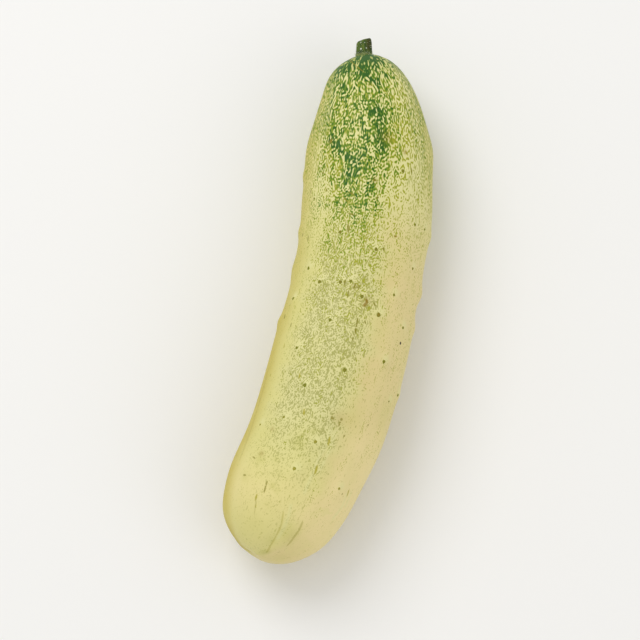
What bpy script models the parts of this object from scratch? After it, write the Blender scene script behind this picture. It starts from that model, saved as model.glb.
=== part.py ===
"""A thick half-white cucumber, picked and lying on its side, with the cut stub of its stalk.

Metres, +Z up. The stalk points along +Y, the fruit bows out towards +X in a level plane, and the
origin is on the surface it lies on, in the middle of its footprint.
"""

import math
import random

import bmesh
import bpy
import numpy as np
from mathutils import Matrix, Vector

NAME = "cucumber"

# The fruit's centre line, seen from above: a curve from the stalk's end to the blossom's end.
CHORD = 0.2414
STEM_REACH = 0.0767
STEM_BOW = 0.0261
BLOSSOM_REACH = 0.0653
BLOSSOM_BOW = 0.0272

# How thick it is, and how its two ends close.
BODY_RADIUS = 0.0293
SWELL_HEIGHT = 0.0014
SWELL_AT = 0.154
SWELL_SPREAD = 0.0317
STEM_TAPER = 0.058
STEM_BLUNT = (1.6, 2.4)
BLOSSOM_TAPER = 0.0433
BLOSSOM_BLUNT = (2.44, 1.98)
FLAT_DEPTH = 0.0005

# Faint ribs run the length of the skin, and stay off the side it lies on.
RIBS = 9
RIB_HEIGHT = 0.00018
UNDERSIDE_PLAIN = math.radians(24)
UNDERSIDE_BLEND = math.radians(26)

# Grooves draw the skin in towards the old flower's scar: round in degrees, depth in millimetres.
GROOVES = ((24, 0.6), (46, 0.6), (98, 0.4), (152, 0.5), (206, 0.4), (258, 0.6), (322, 0.4))
GROOVE_WIDTH = 0.0021
GROOVE_REACH = 0.024
SCAR_RADIUS = 0.0032
SCAR_DEPTH = 0.0010

# Broad swellings and hollows of the skin. A place on the skin is how far along from the stalk in
# millimetres, and how far round from the top towards the outside of the bow in degrees.
# Place, height and spread.
SWELLINGS = (
    (8, -75, 1.4, 9), (45, -90, 1.0, 11), (45, 90, 1.1, 8), (71, -90, 0.7, 12), (78, 90, 1.3, 15),
    (108, -90, 0.9, 6), (109, 90, 0.7, 6), (117, 90, -0.6, 5), (138, -90, 0.6, 14), (180, 90, 1.1, 16),
    (186, -90, -0.3, 16), (152, 20, -0.4, 14), (208, 20, -0.4, 9), (239, -84, 1.6, 10),
    (228, 88, 0.5, 8), (60, 160, 0.5, 14), (45, 0, 0.5, 12),
)

# Low warts, each below a spine's scar, where the photograph shows them. Place only.
WARTS = (
    (49, -34), (83, 7), (92, -19), (99, 15), (110, -46), (116, -2), (118, 40), (118, -31),
    (122, 10), (127, -60), (128, 29), (129, 59), (136, -12), (146, 46), (152, -36), (155, 84),
    (157, 12), (169, -17), (181, -43), (192, 9), (205, 50), (208, 3), (75, 62), (61, 38),
    (71, -60), (189, -26), (110, 84), (89, -84), (136, -84), (176, 74), (60, -84), (84, 86),
    (125, 88),
)
WART_HEIGHT = 0.0007
WART_SPREAD = 0.0034

# The side turned away has the same kind of warts, in rows with some scatter.
HIDDEN_ROWS = (112, 138, 222, 248)
HIDDEN_FROM = 48
HIDDEN_TO = 206
HIDDEN_STEP = 26
HIDDEN_SCATTER = 9
SEED = 11

# The stub of the stalk.
STALK_RADIUS = 0.0034
STALK_FLARE = 0.0004
STALK_LENGTH = 0.0079
STALK_RIBS = 5
STALK_RIB_HEIGHT = 0.00035
STALK_LEAN = math.radians(6)
STALK_ASIDE = 0.0005
# How far the cut faces up and how far it faces to the left.
STALK_CUT_UP = math.tan(math.radians(9))
STALK_CUT_LEFT = math.tan(math.radians(20))
GAP = 0.0003

# How finely the solids are faceted.
SEGMENTS_ROUND = 60
RINGS = 76
STALK_SEGMENTS = 30
STALK_LOOPS = 7
SAMPLES = 2000

MM = 0.001


def material(name, colour, roughness):
    """Return a plain material, its colour as linear red, green and blue."""
    made = bpy.data.materials.new(name)
    made.use_nodes = True
    shader = made.node_tree.nodes["Principled BSDF"]
    shader.inputs["Base Color"].default_value = (*colour, 1)
    shader.inputs["Roughness"].default_value = roughness
    shader.inputs["Metallic"].default_value = 0
    return made


def new_object(name, bm, collection, mat):
    """Make an object from a bmesh, shaded smooth but for its sharp edges."""
    bm.normal_update()
    mesh = bpy.data.meshes.new(name)
    bm.to_mesh(mesh)
    bm.free()
    mesh.shade_smooth()
    mesh.set_sharp_from_angle(angle=math.radians(40))
    mesh.materials.append(mat)
    made = bpy.data.objects.new(name, mesh)
    collection.objects.link(made)
    return made


class Centre:
    """The fruit's centre line, read by the distance along it from the stalk's end."""

    def __init__(self):
        start = np.array((0, CHORD / 2))
        end = -start
        handles = (start, start + (STEM_BOW, -STEM_REACH), end + (BLOSSOM_BOW, BLOSSOM_REACH), end)
        t = np.linspace(0, 1, SAMPLES)[:, None]
        weights = ((1 - t) ** 3, 3 * t * (1 - t) ** 2, 3 * t ** 2 * (1 - t), t ** 3)
        self.points = sum(weight * handle for weight, handle in zip(weights, handles))
        steps = np.hypot(*np.diff(self.points, axis=0).T)
        self.along = np.concatenate(([0], np.cumsum(steps)))
        self.length = self.along[-1]

    def point(self, along):
        """Return the point of the centre line at this distance from the stalk's end."""
        x, y = (np.interp(along, self.along, column) for column in self.points.T)
        return Vector((x, y, 0))

    def heading(self, along):
        """Return the level direction of growth there, from the stalk to the blossom."""
        reach = 0.0015
        first = self.point(max(along - reach, 0))
        last = self.point(min(along + reach, self.length))
        return (last - first).normalized()


def closing(distance, taper, blunt):
    """Return how far an end has opened, from 0 at its tip to 1, this far from the tip."""
    left = np.clip(1 - distance / taper, 0, 1)
    return (1 - left ** blunt[0]) ** (1 / blunt[1])


def body_radius(along):
    """Return the radius before the ends close."""
    return BODY_RADIUS + SWELL_HEIGHT * np.exp(-((along - SWELL_AT) / SWELL_SPREAD) ** 2)


def plain_radius(along, length):
    """Return the radius of the smooth fruit at this distance from the stalk's end."""
    stem = closing(along, STEM_TAPER, STEM_BLUNT)
    blossom = closing(length - along, BLOSSOM_TAPER, BLOSSOM_BLUNT)
    return body_radius(along) * stem * blossom


def even_stations(length):
    """Return a function that turns 0 to 1 into distances spaced evenly over the skin."""
    along = length * (1 - np.cos(np.linspace(0, math.pi, SAMPLES))) / 2
    radius = plain_radius(along, length)
    skin = np.concatenate(([0], np.cumsum(np.hypot(np.diff(along), np.diff(radius)))))
    return lambda share: float(np.interp(share * skin[-1], skin, along))


def between(low, high, value):
    """Return 0 below low and 1 above high, with a smooth rise between."""
    share = min(max((value - low) / (high - low), 0), 1)
    return share * share * (3 - 2 * share)


def apart(first, second):
    """Return the angle between two directions round the fruit, without a sign."""
    turn = abs(first - second) % math.tau
    return min(turn, math.tau - turn)


def hidden_warts():
    """Return the places of the warts on the side turned away."""
    draw = random.Random(SEED)
    places = []
    for row, round_to in enumerate(HIDDEN_ROWS):
        first = HIDDEN_FROM + HIDDEN_STEP * (row % 2) / 2
        for along in np.arange(first, HIDDEN_TO, HIDDEN_STEP):
            slip = draw.uniform(-HIDDEN_SCATTER, HIDDEN_SCATTER)
            turn = draw.uniform(-HIDDEN_SCATTER, HIDDEN_SCATTER)
            places.append((along + slip, round_to + turn))
    return places


def bumps():
    """Return every swelling and wart as distance, angle, height and spread."""
    broad = [(a * MM, math.radians(r), height * MM, spread * MM) for a, r, height, spread in SWELLINGS]
    small = [(a * MM, math.radians(r), WART_HEIGHT, WART_SPREAD) for a, r in (*WARTS, *hidden_warts())]
    return broad + small


def relief(along, turn, radius, length, raised):
    """Return how far the skin stands off the smooth fruit at a place."""
    height = 0.0
    for at, round_to, tall, spread in raised:
        across = (along - at) / spread
        if abs(across) < 3:
            sideways = apart(turn, round_to) * radius / spread
            height += tall * math.exp(-across * across - sideways * sideways)
    height += RIB_HEIGHT * math.cos(RIBS * turn)
    height *= between(UNDERSIDE_PLAIN, UNDERSIDE_PLAIN + UNDERSIDE_BLEND, apart(turn, math.pi))
    drawn_in = (1 - between(0, GROOVE_REACH, length - along)) * between(0, BODY_RADIUS / 3, radius)
    for round_to, depth in GROOVES:
        sideways = apart(turn, math.radians(round_to)) * radius / GROOVE_WIDTH
        height -= depth * MM * drawn_in * math.exp(-sideways * sideways)
    return height * between(0, 0.01, radius)


def make_fruit(collection, centre):
    """Model the fruit: a sphere drawn out along the centre line, with its relief."""
    station = even_stations(centre.length)
    raised = bumps()
    bm = bmesh.new()
    bmesh.ops.create_uvsphere(bm, u_segments=SEGMENTS_ROUND, v_segments=RINGS, radius=1)
    for vert in bm.verts:
        along = station(math.acos(max(-1, min(1, vert.co.z))) / math.pi)
        turn = math.atan2(vert.co.y, vert.co.x)
        radius = plain_radius(along, centre.length)
        scar = SCAR_DEPTH * (1 - between(0, SCAR_RADIUS * 2, radius)) * (along > centre.length / 2)
        radius += relief(along, turn, radius, centre.length, raised)
        heading = centre.heading(along)
        outside = Vector((-heading.y, heading.x, 0))
        up = Vector((0, 0, 1))
        middle = centre.point(along) + up * (body_radius(along) - FLAT_DEPTH) - heading * scar
        vert.co = middle + (outside * math.sin(turn) + up * math.cos(turn)) * radius
        vert.co.z = max(vert.co.z, 0)
    skin = material("skin", (0.66, 0.67, 0.36), 0.42)
    return new_object("fruit", bm, collection, skin)


def make_stalk(collection, centre):
    """Model the stub: a ribbed rod that flares where it meets the fruit, cut on the slant."""
    bm = bmesh.new()
    over = 2 * STALK_RADIUS * math.hypot(STALK_CUT_UP, STALK_CUT_LEFT)
    tall = STALK_LENGTH + over
    bmesh.ops.create_cone(bm, cap_ends=True, segments=STALK_SEGMENTS, radius1=1, radius2=1, depth=tall,
                          matrix=Matrix.Translation((0, 0, tall / 2)))
    for loop in range(1, STALK_LOOPS):
        height = (loop / STALK_LOOPS) ** 1.5 * STALK_LENGTH * 0.7
        everything = bm.verts[:] + bm.edges[:] + bm.faces[:]
        bmesh.ops.bisect_plane(bm, geom=everything, plane_co=(0, 0, height), plane_no=(0, 0, 1))
    for vert in bm.verts:
        turn = math.atan2(vert.co.y, vert.co.x)
        flare = STALK_FLARE * math.exp(-vert.co.z / (STALK_LENGTH * 0.22))
        radius = STALK_RADIUS + flare + STALK_RIB_HEIGHT * math.cos(STALK_RIBS * turn)
        vert.co.x = radius * math.cos(turn)
        vert.co.y = radius * math.sin(turn)
    everything = bm.verts[:] + bm.edges[:] + bm.faces[:]
    slant = (STALK_CUT_UP, -STALK_CUT_LEFT, 1)
    cut = bmesh.ops.bisect_plane(bm, geom=everything, plane_co=(0, 0, STALK_LENGTH), plane_no=slant,
                                 clear_outer=True)
    rim = [item for item in cut["geom_cut"] if isinstance(item, bmesh.types.BMEdge)]
    bmesh.ops.contextual_create(bm, geom=rim)
    bmesh.ops.recalc_face_normals(bm, faces=bm.faces)

    outwards = -centre.heading(0)
    turn_level = math.atan2(outwards.y, outwards.x) - STALK_LEAN
    aim = Vector((math.cos(turn_level), math.sin(turn_level), 0)).to_track_quat("Z", "X")
    seat = centre.point(0) + outwards * GAP - outwards.cross(Vector((0, 0, 1))) * STALK_ASIDE
    seat.z = body_radius(0) - FLAT_DEPTH
    bm.transform(Matrix.Translation(seat) @ aim.to_matrix().to_4x4())
    green = material("stalk", (0.07, 0.13, 0.03), 0.6)
    return new_object("stem", bm, collection, green)


def centre_footprint(pieces):
    """Move the pieces so that the origin is in the middle of their footprint."""
    corners = np.array([vert.co for piece in pieces for vert in piece.data.vertices])
    middle = (corners.min(axis=0) + corners.max(axis=0)) / 2
    shift = Matrix.Translation((-middle[0], -middle[1], 0))
    for piece in pieces:
        piece.data.transform(shift)


def main():
    """Clear the file and model the cucumber."""
    for old in list(bpy.data.objects):
        bpy.data.objects.remove(old, do_unlink=True)
    collection = bpy.data.collections.new(NAME)
    bpy.context.scene.collection.children.link(collection)
    centre = Centre()
    pieces = (make_fruit(collection, centre), make_stalk(collection, centre))
    centre_footprint(pieces)


main()
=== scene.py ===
"""Dresses the half-white cucumber: its mottled skin, the scars and scuffs on it, and its stalk.

Metres, +Z up. The stalk points along +Y and the fruit bows out towards +X. A place on the skin is
how far along it is from the stalk's end, in millimetres, and how far round from the top towards the
outside of the bow, in degrees.
"""

import math
import random

import bmesh
import bpy
import numpy as np
from bpy.props import FloatProperty, FloatVectorProperty, IntProperty, PointerProperty
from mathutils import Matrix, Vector


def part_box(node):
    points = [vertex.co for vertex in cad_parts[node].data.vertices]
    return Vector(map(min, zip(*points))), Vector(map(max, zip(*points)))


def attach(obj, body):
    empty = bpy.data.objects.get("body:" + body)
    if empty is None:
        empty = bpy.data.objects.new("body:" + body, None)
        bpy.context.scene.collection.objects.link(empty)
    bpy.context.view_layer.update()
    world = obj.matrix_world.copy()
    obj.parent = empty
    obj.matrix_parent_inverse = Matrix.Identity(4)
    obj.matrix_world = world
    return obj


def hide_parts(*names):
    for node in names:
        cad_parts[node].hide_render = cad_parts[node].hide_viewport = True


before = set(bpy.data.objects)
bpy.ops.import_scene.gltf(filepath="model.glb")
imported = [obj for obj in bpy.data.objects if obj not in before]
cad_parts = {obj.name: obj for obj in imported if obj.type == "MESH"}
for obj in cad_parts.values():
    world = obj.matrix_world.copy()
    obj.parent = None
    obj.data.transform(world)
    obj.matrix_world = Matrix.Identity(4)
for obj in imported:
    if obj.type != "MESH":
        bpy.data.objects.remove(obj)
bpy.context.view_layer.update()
FRUIT_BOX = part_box("fruit")

bl_info = {
    "name": "Half-white cucumber",
    "version": (1, 0, 0),
    "blender": (4, 5, 0),
    "location": "3D View > Sidebar > Cucumber",
    "description": "Models a thick half-white cucumber with its mottled skin, spine scars and cut stalk",
    "category": "Add Mesh",
}

MM = 0.001
SAMPLES = 4000
SURVEY = (300, 120)
HEADING_REACH = 1.5 * MM

# The fruit's centre line and how its ends close, as in the solid that the fine fruit replaces.
CHORD = 0.2414
STEM_REACH = 0.0767
STEM_BOW = 0.0261
BLOSSOM_REACH = 0.0653
BLOSSOM_BOW = 0.0272
SWELL_HEIGHT = 0.0014
SWELL_AT = 0.154
SWELL_SPREAD = 0.0317
STEM_TAPER = 0.058
STEM_BLUNT = (1.6, 2.4)
BLOSSOM_TAPER = 0.0433
BLOSSOM_BLUNT = (2.44, 1.98)
FLAT_DEPTH = 0.0005

# Its ribs, the grooves at the blossom's end (round in degrees, depth in millimetres) and the old
# flower's scar. The relief is full where the fruit is thicker than a small radius.
RIBS = 9
RIB_HEIGHT = 0.00018
UNDERSIDE_PLAIN = math.radians(24)
UNDERSIDE_BLEND = math.radians(26)
GROOVES = ((24, 0.6), (46, 0.6), (98, 0.4), (152, 0.5), (206, 0.4), (258, 0.6), (322, 0.4))
GROOVE_WIDTH = 0.0021
GROOVE_REACH = 0.024
SCAR_RADIUS = 0.0032
SCAR_DEPTH = 0.0010
RELIEF_FROM = 0.01
# How much closer together the fine fruit's faces stand on top than below.
CROWDED = 0.35

# Broad swellings and hollows: along, round, height and spread in millimetres.
SWELLINGS = (
    (8, -75, 1.4, 9), (45, -90, 1, 11), (45, 90, 1.1, 8), (71, -90, 0.7, 12), (78, 90, 1.3, 15),
    (108, -90, 0.9, 6), (109, 90, 0.7, 6), (117, 90, -0.6, 5), (138, -90, 0.6, 14), (180, 90, 1.1, 16),
    (186, -90, -0.3, 16), (152, 20, -0.4, 14), (208, 20, -0.4, 9), (239, -84, 1.6, 10),
    (228, 88, 0.5, 8), (60, 160, 0.5, 14), (45, 0, 0.5, 12),
)

# Low warts on the side that shows: along and round.
WARTS = (
    (49, -34), (83, 7), (92, -19), (99, 15), (110, -46), (116, -2), (118, 40), (118, -31), (122, 10),
    (127, -60), (128, 29), (129, 59), (136, -12), (146, 46), (152, -36), (155, 84), (157, 12),
    (169, -17), (181, -43), (192, 9), (205, 50), (208, 3), (75, 62), (61, 38), (71, -60), (189, -26),
    (110, 84), (89, -84), (136, -84), (176, 74), (60, -84), (84, 86), (125, 88),
)
HIDDEN_ROWS = (112, 138, 222, 248)
HIDDEN_FROM = 48
HIDDEN_TO = 206
HIDDEN_STEP = 26
HIDDEN_SCATTER = 9
SEED = 11

# Scars where spines stood: along, round, half their width in millimetres and how brown they are.
SPINE_SCARS = (
    (47.5, -38, 1, 0.6), (122, 9, 0.85, 0.2), (99, 14, 0.8, 0.3), (128, 27, 1, 0.9), (136, -13, 0.8, 0),
    (157, 10.5, 0.9, 0.2), (169, -18, 0.9, 0), (147, 43, 0.8, 0.2), (117, 38, 0.6, 0.2),
    (129, 57, 0.6, 0.2), (207, 1, 0.8, 0.2), (192, 8, 0.75, 0.2), (118, -31, 0.85, 0.3),
    (116, -3, 0.7, 0.1), (117, -12, 0.8, 0.5), (93, -20, 0.8, 0.3), (111, -47, 0.8, 0.1),
    (126, -60, 0.8, 0), (152, -36, 0.7, 0.1), (205, 47, 0.55, 1), (156, 79, 0.6, 0.2),
    (67, 6, 0.6, 0.3), (75, 10, 0.5, 0.1), (61, 32, 0.8, 0.1), (75, -55, 0.5, 0.1), (102, 58, 0.6, 0.4),
    (83, 52, 0.6, 0.3), (186, -27, 0.6, 0.1), (192, -51, 0.5, 0.2), (161, 66, 0.4, 0.6),
    (83, 68, 0.5, 0.2),
)

# Short dashes in the skin: along, round, half their length, half their width, and their slant.
DASHES = (
    (60, 41, 1.5, 0.42, 6), (71, -60, 1.2, 0.45, 12), (95, -58, 1.7, 0.45, 4), (92, -70, 1, 0.5, 0),
    (140, -53, 1.3, 0.35, 8), (151, -54, 1.3, 0.35, 10), (135, -69, 1.3, 0.55, 8),
    (166, -63, 0.9, 0.35, 10), (181, -11, 1.4, 0.5, 16), (189, 19, 2.2, 0.55, 12),
    (203, 19, 2, 0.6, 10), (204, 62, 1.8, 0.5, 12), (197, 89, 2, 0.6, 6), (165, -26, 1.6, 0.4, 6),
    (98, 21, 0.9, 0.4, 10), (118, 1, 1.4, 0.4, -14), (117, -8, 1.6, 0.5, 4), (91, -13, 2, 0.6, 8),
    (63, -45, 0.8, 0.5, 20), (72, -39, 0.8, 0.4, 0), (226, -21, 1.6, 0.5, 10), (230, -18, 1.6, 0.28, 6),
    (134, 10, 1.9, 0.42, 4), (138, 10.5, 1.7, 0.45, 8), (142, 10, 1, 0.3, 8), (84, -12, 2, 0.4, 78),
    (77, -19, 1.9, 0.4, 44), (74, -14, 1.7, 0.4, 58), (133, 17, 0.9, 0.35, 30), (124, 22, 1, 0.4, 40),
    (118, 5, 1.2, 0.3, -10), (122, -3, 1.7, 0.35, 2),
)

# Brown and strength of the dashes and the scuffs, before and after the place where they turn paler.
# Brown goes from below 0 on the palest marks to 0 on scars and 1 on the speck.
DASH_TONES = ((0, 0.85), (-0.25, 0.8))
SCUFF_TONES = ((0.7, 0.8), (0.1, 0.7))
PALER_FROM = 145
SCAR_STOP = 0.2

# Fine lines: the places they run through, half their width, their brown and their strength.
LINES = (
    (((3, -40), (9, -16), (13, -5)), 0.2, 0.4, 0.7),
    (((226, 11), (231, 17), (236, 21), (240, 26), (242.5, 33)), 0.4, -0.2, 0.36),
    (((225, 33), (228, 36), (232, 38), (236, 42)), 0.5, -0.1, 0.4),
    (((226, -21), (229, -19), (233, -16)), 0.34, 0.2, 0.2),
    (((163, -72), (185, -68), (211, -60)), 0.9, 0.4, 0.16),
    (((231, 118), (237, 128), (242, 140)), 0.3, 0.1, 0.5),
    (((230, -122), (237, -118), (242, -112)), 0.3, 0.1, 0.5),
    (((229, 172), (237, 176), (243, 182)), 0.3, 0.1, 0.5),
)

# Low wrinkles that stand up paler than the skin round them: the places they run through.
WRINKLES = (
    ((184, 15), (190, 17.5), (198, 16.5), (206, 17.5), (214, 19)),
    ((186, 21), (194, 22.5), (203, 21.5)),
    ((205, 61), (210, 64), (216, 62)), ((203, 66), (209, 69)), ((222, 14), (229, 20), (236, 25)),
)
WRINKLE_HEIGHT = 0.00013
WRINKLE_SPREAD = 0.0008

# Brown healed scuffs and one dark speck: along, round, half length, half width, and their slant.
SCUFFS = (
    (123.6, 14, 1.3, 0.75, 20), (125.6, 13, 0.8, 0.7, 0), (179, 14, 0.9, 0.7, 60),
    (178, 22, 0.7, 0.6, 0), (180.6, 22, 0.8, 0.35, 0), (184, 30, 0.5, 0.45, 0), (148, 15, 0.5, 0.4, 0),
    (218, -16.5, 0.9, 0.42, 8), (221, -15.5, 1.9, 0.42, 8), (209, -40, 0.4, 1.1, -20),
    (218.5, -43, 0.5, 1.1, 0), (91, 31, 0.35, 0.9, 0), (206, 54, 0.5, 0.45, 0), (175, 49, 0.5, 0.4, 0),
)
SPECK = (135.6, 60, 0.7, 0.64, 0)

# Soft brown tinges: along, round, strength and spread.
TINGES = (
    (46.5, 16, 0.34, 3), (52, 34, 0.6, 1.1), (47.5, -38, 0.5, 1.1), (67, 6, 0.4, 1.4),
    (123, 14, 0.25, 2.4), (178, 19, 0.2, 3.4), (118, 2, 0.2, 1.6), (206, -34, 0.4, 1.3),
    (193, -34, 0.35, 1.2), (20, 2, 0.3, 1.2),
)

# Soft olive smudges: along, round, strength and spread.
SMUDGES = (
    (195, -7, 0.55, 3.2), (206, -18, 0.5, 2), (218, -10, 0.75, 1.7), (219, -5, 0.5, 1.6),
    (209, -33, 0.45, 2.2), (219, -42, 0.4, 2.6), (232, 32, 0.55, 4.2), (243, 33, 0.9, 1.6),
    (238, 22, 0.35, 2.6), (119, -26, 0.6, 1.6), (87, -47, 0.5, 1.7), (176, 33, 0.22, 5),
    (150, 48, 0.14, 5), (165, 66, 0.14, 7), (102, -60, 0.2, 3), (213, -10, 0.25, 4),
    (226, -6, 0.25, 3.4), (241, 62, 0.3, 3.4), (236, -12, 0.2, 4), (188, 3, 0.6, 1.5),
)

# Patches where the green closes up: along, round, strength and spread.
PATCHES = (
    (34, 2, 0.32, 3), (32, 8, 0.3, 2.6), (36, 14, 0.34, 3.4), (46, 8, 0.34, 4.2), (52, 10, 0.3, 3),
    (40, -20, 0.26, 3), (34, -18, 0.3, 2.2), (31, -22, 0.26, 2.4), (47, -38, 0.9, 2),
    (50, -32, 0.7, 1.7), (53, -26, 0.7, 1.7), (56, -19, 0.6, 2), (58, -13, 0.5, 2), (54, -10, 0.3, 3),
    (60, -16, 0.32, 3), (64, -17, 0.34, 2.6), (68, -20, 0.3, 3), (74, -16, 0.32, 2.6),
    (72, 0, 0.22, 3.6), (79, -2, 0.26, 2.4), (80, 2, 0.26, 2.4), (84, -10, 0.3, 2), (91, -14, 0.3, 2),
    (14, -2, 0.6, 1), (16, 2, 0.8, 1.1), (18, 6, 0.8, 1.2), (20, 10, 0.8, 1.2), (13, -6, 0.25, 3),
    (15, 24, 0.2, 3), (18, -34, 0.3, 3.4), (22, -28, 0.22, 3), (116, -8, 0.35, 1.6),
    (117, -27, 0.4, 1.7), (104, 22, 0.3, 1.6), (86, -48, 0.35, 1.8), (141, -2, 0.12, 6),
    (104, -6, -0.1, 6), (48, -60, -0.1, 6), (26, 30, -0.16, 5), (43, -46, -0.1, 5),
    (60, -32, -0.38, 4.5), (32, -30, -0.36, 6), (50, -36, -0.2, 5), (42, -12, 0.24, 4.5),
    (20, -14, -0.32, 4.5), (18, -52, -0.2, 5), (41, 30, -0.2, 6), (54, 30, 0.12, 5), (62, -32, -0.1, 5),
    (66, -50, 0.42, 6), (78, -50, 0.8, 7), (90, -48, 0.4, 7), (5, 8, 0.24, 4), (6, 30, 0.26, 4),
    (18, 32, -0.14, 4.5), (65, 8, 0.14, 5), (7, -72, -0.24, 5), (20, 50, 0.14, 6), (72, -8, -0.06, 5),
    (62, 10, 0.08, 5), (65, 30, 0.14, 6),
)

# A scar's crater: where its rim is and how broad, as shares of its half width; how high the rim and
# the middle stand; how much longer than wide it is; and how deep its edge and its middle reach.
CRATER_RIM = (0.62, 0.26)
CRATER_HEIGHTS = (1.15, 0.15)
CRATER_LONG = 1.15
CRATER_EDGE = 0.00006
CRATER_ROOT = 0.0004
CRATER_FACES = (14, 10)
HIDDEN_HALF = (0.55, 0.85)
# Painted highlight by each scar: how far above it and to its right, its strength and its added width.
SCAR_HIGHLIGHT_UP = 1.6
SCAR_HIGHLIGHT_RIGHT = 1.5
SCAR_HIGHLIGHT_STRENGTH = 0.7
SCAR_HIGHLIGHT_WIDER = 1.2

# The stub's loops above its foot: height as a share of its length, and share of its side's radius.
STUB_LOOPS = (
    (0.03, 1), (0.1, 1), (0.18, 1), (0.28, 1), (0.4, 1), (0.52, 1), (0.64, 1), (0.74, 0.985),
    (0.83, 0.955), (0.91, 0.9), (0.97, 0.82), (1, 0.72), (0.99, 0.64), (0.96, 0.54), (0.94, 0.38),
    (0.95, 0.2),
)
STUB_SIDES = 40
STUB_FOOT = 0.0014
STUB_GAP = 0.0003
FLARE_REACH = 0.22
FURROWS = 23
FURROW_HEIGHT = 0.00005
FURROW_TWIST = 600
DOWN_REACH = 0.0009
# Pale stumps of bristles that catch the light: turn from straight up, height share and width.
STUMPS = (
    (-26, 0.34, 0.0008), (16, 0.37, 0.0005), (-28, 0.8, 0.00045), (4, 0.72, 0.0003),
    (-12, 0.2, 0.00028), (-62, 0.6, 0.0002), (24, 0.72, 0.00018), (-20, 0.63, 0.00016),
    (60, 0.55, 0.00018), (120, 0.5, 0.0002), (200, 0.35, 0.0002), (160, 0.7, 0.00016),
    (-110, 0.45, 0.0002),
)
STUMP_LENGTH = 0.0005
STUMP_ASTRAY = 0.1
# Bristles on the stub and down at its foot: height shares, widths, lengths and how far astray.
BRISTLES = ((0.08, 0.94), (0.00004, 0.00009), (0.0004, 0.0009), 0.5)
DOWN = ((0, 0.14), (0.00003, 0.00006), (0.0006, 0.0014), 0.9)
BRISTLE_ROOT = 0.00006

# How green the top is along the fruit, and how green its sides are.
COVER_TOP = (
    (0, 0.84), (8, 0.76), (15, 0.62), (30, 0.6), (44, 0.63), (60, 0.62), (72, 0.54), (84, 0.46),
    (96, 0.34), (108, 0.16), (130, -0.06), (168, -0.18), (246, -0.3),
)
COVER_SIDE = (
    (0, 0.52), (12, 0.42), (30, 0.46), (40, 0.38), (48, 0.29), (60, 0.16), (72, 0.05), (84, -0.03),
    (100, -0.1), (246, -0.3),
)
# Round from the top to where the green is half way between the two, on either side.
FADE_LEFT = (
    (0, 84), (12, 68), (30, 58), (48, 52), (60, 44), (72, 38), (84, 34), (110, 40), (150, 42),
    (246, 42),
)
FADE_RIGHT = (
    (0, 34), (12, 24), (36, 24), (60, 20), (74, 16), (88, 14), (96, 20), (122, 26), (138, 24),
    (171, 21), (190, 26), (246, 40),
)
FADE_HALF = 15
# How the border sways: by how many degrees, how often in one wave, and where it starts.
SWAYS = ((2.5, 1, 0), (2, 2.3, 1))
WAVE = 3.4 * MM
# A fringe of green low on the right: along, round, strength and spread.
FRINGE = (60, 74, 0.05, 40)
# How thick the fine specks are along the top.
SPECK_TOP = (
    (0, 0), (50, 0.14), (76, 0.42), (90, 0.54), (110, 0.6), (130, 0.56), (170, 0.44), (192, 0.32),
    (210, 0.18), (226, 0), (240, -0.15),
)
# How long the mottle's pattern is read along the fruit for its true length, and on which radius.
DRAWN_OUT = (
    (0, 0.24), (10, 0.3), (22, 0.42), (40, 0.5), (60, 0.58), (84, 0.74), (110, 0.84), (246, 0.9),
)
PATTERN_RADIUS = 0.0295
# How much finer the pattern is than by the stalk, and the steps in which it changes.
FINENESS = ((0, 1), (66, 1), (96, 1.32), (130, 1.4), (246, 1.35))
PATTERN_STEP = math.sqrt(2)

# Where the skin changes along the fruit, in millimetres: from and to.
ZONES = {
    "deep": (4, 22), "olive": (4, 18), "fringe": (20, 50), "light": (30, 45), "lighter": (62, 90),
    "blush": (35, 70), "netted": (60, 110), "milky": (40, 90), "milk_ends": (170, 220),
    "border": (110, 160), "right_border": (50, 100), "clean": (150, 190), "faint": (175, 225),
    "paler_scars": (172, 195), "blossom": (195, 225), "tip": (222, 240),
}
# Where it changes round the fruit, in degrees from the top.
UNDER = (110, 180)
PALE_SIDE = (24, 46)
LEFT_SIDE = (46, 80)
RIGHT_SIDE = (50, 80)

# How fine each noise is, in waves a metre.
SCALES = {
    "worms": 510, "bends": 300, "columns": 340, "patches": 120, "levels": 170, "clouds": 55,
    "thickness": 190, "grain": 700, "ragged": 1500, "scar_flecks": 2600, "furrows": 1000,
    "blotches": 430, "hair_and_glint_flecks": 2600, "cut": 2400, "bristles": 900,
}
BEND = 0.0008
# Pores: their size, their depth and the strength of their shading.
PORES = {"skin": (0.0012, 0.00008, 0.6), "scar": (0.0004, 0.00006, 0.7), "stub": (0.0005, 0.00016, 0.8)}

# The lamps: name, place, width in metres and power in watts.
LIGHTS = (("key", (-0.9, 0.7, 1.6), 1.4, 14), ("fill", (1.2, -0.5, 1.2), 1.2, 3))
FLOOR_SIZE = 8
SENSOR = 36
PICTURE = 640


def linear(red, green, blue):
    """Return a colour given as 0 to 255, as a screen shows it, in linear light."""
    shares = (red / 255, green / 255, blue / 255)
    return tuple(v / 12.92 if v <= 0.04045 else ((v + 0.055) / 1.055) ** 2.4 for v in shares)


def colour_prop(name, description, red, green, blue):
    """Return a colour property with its default given as a screen shows it."""
    return FloatVectorProperty(name=name, description=description, subtype="COLOR", size=3,
                               min=0, max=1, default=linear(red, green, blue))


def length_prop(name, description, default):
    """Return a length property in metres."""
    return FloatProperty(name=name, description=description, default=default, min=0, unit="LENGTH")


def angle_prop(name, description, degrees):
    """Return an angle property, its default given in degrees."""
    return FloatProperty(name=name, description=description, subtype="ANGLE",
                         default=math.radians(degrees))


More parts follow.
